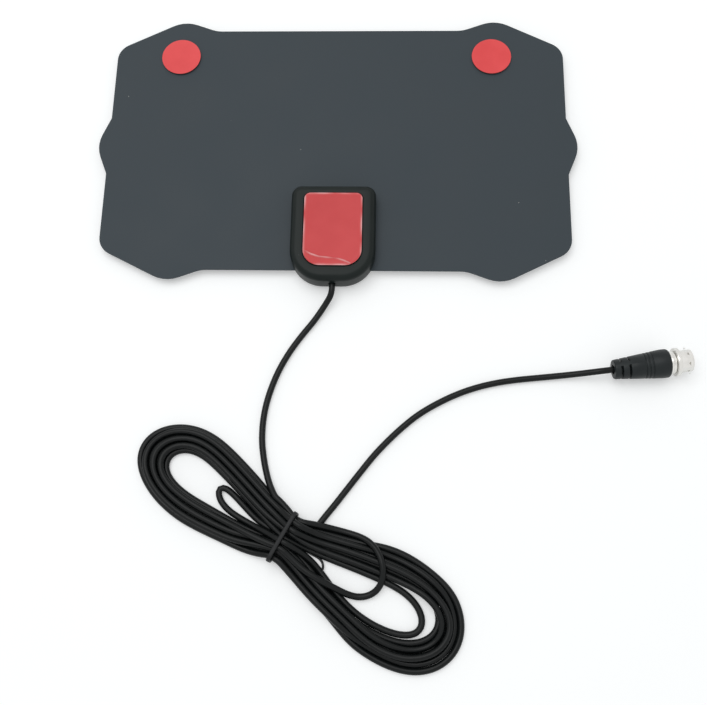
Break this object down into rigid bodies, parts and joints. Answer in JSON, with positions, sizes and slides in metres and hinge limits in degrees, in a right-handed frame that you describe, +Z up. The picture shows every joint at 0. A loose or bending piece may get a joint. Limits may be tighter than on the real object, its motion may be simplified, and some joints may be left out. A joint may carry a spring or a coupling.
{
  "type": "tv antenna",
  "caption": "Flat indoor aerial sheet with a moulded junction box, sticky pads, a tied coaxial cable and a plug whose hexagon nut turns.",
  "frame": {"origin": "on the surface that it lies on, under the middle of the sheet and the junction box together", "axes": "+X along the sheet's long side, +Y away from the cable, +Z up, from the front of the aerial to its back with the sticky pads"},
  "size_m": [0.2862, 0.3195, 0.0133],
  "materials": {
    "film": "matte, faintly mottled",
    "foil": "rolled foil",
    "shell": "satin moulded black",
    "screw_steel": "zinc plated",
    "board": "green solder mask",
    "ceramic": "fired ceramic",
    "ferrite": "sintered ferrite",
    "copper": "copper",
    "rivet_brass": "brass",
    "ferrule_metal": "crimped tube",
    "jacket": "satin black pvc",
    "dielectric": "natural white",
    "foam": "closed foam",
    "pad_red": "glossy red release liner",
    "disc_red": "red release liner",
    "tie": "black coated wire",
    "grip": "moulded black pvc",
    "nickel": "bright nickel plate",
    "pin_metal": "copper clad"
  },
  "bodies": {
    "aerial": {"front_film": "film", "back_film": "film", "foil_left": "foil", "foil_right": "foil", "front_shell": "shell", "back_shell": "shell", "housing_screws": "screw_steel", "circuit_board": "board", "chip_capacitors": "ceramic", "balun_core": "ferrite", "balun_winding": "copper", "cable_conductor": "copper", "contact_rivets": "rivet_brass", "cable_ferrule": "ferrule_metal", "cable_inner_end": "jacket", "cable_lead": "jacket", "cable_bundle": "jacket", "cable_tail": "jacket", "plug_cable_end": "jacket", "cable_dielectric": "dielectric", "plug_insulator": "dielectric", "pad_foam": "foam", "disc_foam_left": "foam", "disc_foam_right": "foam", "pad_liner": "pad_red", "disc_liner_left": "disc_red", "disc_liner_right": "disc_red", "twist_tie": "tie", "plug_grip": "grip", "plug_body": "nickel", "plug_pin": "pin_metal"},
    "nut": {"coupling_nut": "nickel"}
  },
  "joints": [
    {"name": "nut_turn", "type": "hinge", "parent": "aerial", "child": "nut", "pos_m": [0.16191, -0.10931, 0.00665], "axis": [0.991, 0.134, 0], "continuous": true}
  ]
}
